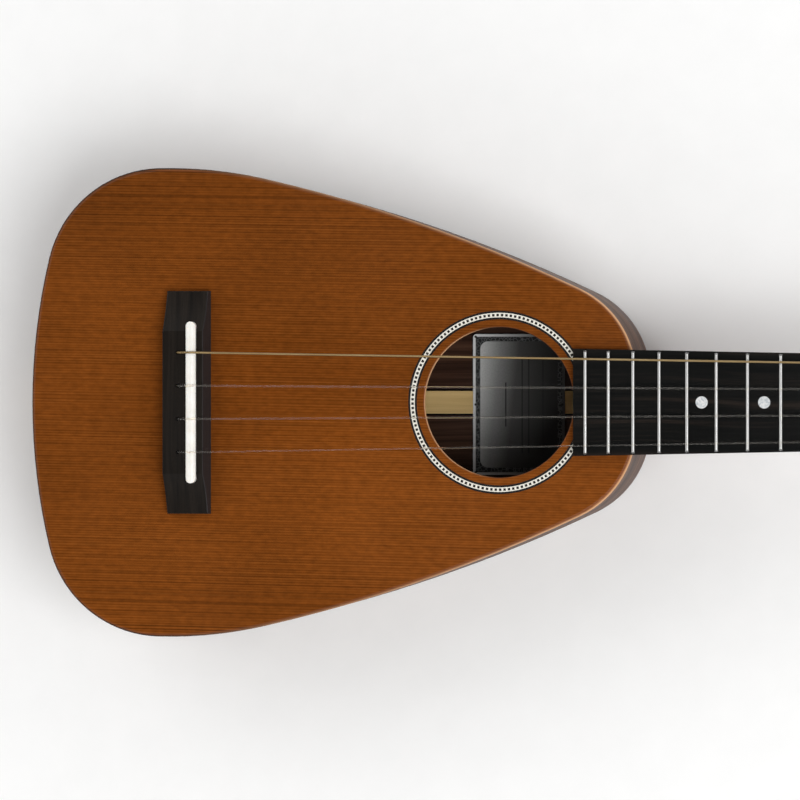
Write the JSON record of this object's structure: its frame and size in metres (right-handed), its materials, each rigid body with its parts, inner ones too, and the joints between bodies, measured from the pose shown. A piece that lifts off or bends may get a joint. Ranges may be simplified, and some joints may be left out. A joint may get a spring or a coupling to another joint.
{
  "type": "tenor ukulele",
  "caption": "Small plucked string instrument with a teardrop wooden body, round soundhole, fretted neck, strings tied through the bridge and geared tuners.",
  "frame": {"origin": "middle of the back's flat face, on the centre line, halfway along the body", "axes": "+X along the neck towards the head, +Y towards the G (fourth) string's side, +Z out of the soundboard; it lies on its back"},
  "size_m": [0.6156, 0.2084, 0.0816],
  "materials": {
    "cedar_top": "gloss lacquer over straight-grained red cedar",
    "rosette_black": "gloss",
    "rosette_chequer": "gloss, white ring with small black squares",
    "rosewood": "gloss lacquer over dark rosewood",
    "maple": "gloss",
    "pale_strip": "bare sanded wood",
    "lining_wood": "bare sanded wood",
    "block_wood": "bare sanded wood",
    "brace_wood": "bare sanded spruce",
    "label_black": "gloss black card",
    "ebony": "satin, oiled ebony",
    "bone": "polished bone",
    "mahogany": "satin lacquer",
    "fret_silver": "polished nickel silver",
    "pearl": "mother of pearl",
    "nickel": "nickel plate",
    "wound_gold": "fine metal winding",
    "clear_string": "translucent fluorocarbon",
    "button_black": "gloss",
    "brass_gear": "machined"
  },
  "bodies": {
    "frame": {"soundboard": "cedar_top", "rosette_lines": "rosette_black", "rosette_band": "rosette_chequer", "back_bass_half": "rosewood", "back_treble_half": "rosewood", "side_bass": "rosewood", "side_treble": "rosewood", "back_centre_inlay": "maple", "tail_graft": "maple", "back_inner_strip": "pale_strip", "top_linings": "lining_wood", "back_linings": "lining_wood", "neck_block": "block_wood", "tail_block": "block_wood", "bridge_patch": "brace_wood", "face_braces": "brace_wood", "fan_braces": "brace_wood", "back_braces": "brace_wood", "label": "label_black", "bridge": "ebony", "fretboard": "ebony", "headstock_veneer": "ebony", "heel_cap": "ebony", "saddle": "bone", "nut": "bone", "neck": "mahogany", "frets": "fret_silver", "fret_dots": "pearl", "side_dots": "pearl", "tuner_plates": "nickel", "tuner_bushings": "nickel", "tuner_screws": "nickel", "string_g": "wound_gold", "string_c": "clear_string", "string_e": "clear_string", "string_a": "clear_string"},
    "key_g": {"button_g": "button_black", "worm_g": "nickel"},
    "roller_g": {"post_g": "nickel", "gear_g": "brass_gear", "gear_screw_g": "nickel", "winding_g": "wound_gold"},
    "key_c": {"button_c": "button_black", "worm_c": "nickel"},
    "roller_c": {"post_c": "nickel", "gear_c": "brass_gear", "gear_screw_c": "nickel", "winding_c": "clear_string"},
    "key_e": {"button_e": "button_black", "worm_e": "nickel"},
    "roller_e": {"post_e": "nickel", "gear_e": "brass_gear", "gear_screw_e": "nickel", "winding_e": "clear_string"},
    "key_a": {"button_a": "button_black", "worm_a": "nickel"},
    "roller_a": {"post_a": "nickel", "gear_a": "brass_gear", "gear_screw_a": "nickel", "winding_a": "clear_string"}
  },
  "joints": [
    {"name": "key_g_turn", "type": "hinge", "parent": "frame", "child": "key_g", "pos_m": [0.39731, 0.017, 0.04771], "axis": [0, 1, 0], "continuous": true},
    {"name": "roller_g_turn", "type": "hinge", "parent": "frame", "child": "roller_g", "pos_m": [0.40531, 0.017, 0.05058], "axis": [0.225, 0, 0.9744], "continuous": true},
    {"name": "key_c_turn", "type": "hinge", "parent": "frame", "child": "key_c", "pos_m": [0.43434, 0.017, 0.03916], "axis": [0, 1, 0], "continuous": true},
    {"name": "roller_c_turn", "type": "hinge", "parent": "frame", "child": "roller_c", "pos_m": [0.44234, 0.017, 0.04204], "axis": [0.225, 0, 0.9744], "continuous": true},
    {"name": "key_e_turn", "type": "hinge", "parent": "frame", "child": "key_e", "pos_m": [0.43434, -0.017, 0.03916], "axis": [0, 1, 0], "continuous": true},
    {"name": "roller_e_turn", "type": "hinge", "parent": "frame", "child": "roller_e", "pos_m": [0.44234, -0.017, 0.04204], "axis": [0.225, 0, 0.9744], "continuous": true},
    {"name": "key_a_turn", "type": "hinge", "parent": "frame", "child": "key_a", "pos_m": [0.39731, -0.017, 0.04771], "axis": [0, 1, 0], "continuous": true},
    {"name": "roller_a_turn", "type": "hinge", "parent": "frame", "child": "roller_a", "pos_m": [0.40531, -0.017, 0.05058], "axis": [0.225, 0, 0.9744], "continuous": true}
  ],
  "couplings": [
    {"joint": "roller_g_turn", "follows": "key_g_turn", "ratio": 0.071429},
    {"joint": "roller_c_turn", "follows": "key_c_turn", "ratio": 0.071429},
    {"joint": "roller_e_turn", "follows": "key_e_turn", "ratio": -0.071429},
    {"joint": "roller_a_turn", "follows": "key_a_turn", "ratio": -0.071429}
  ]
}
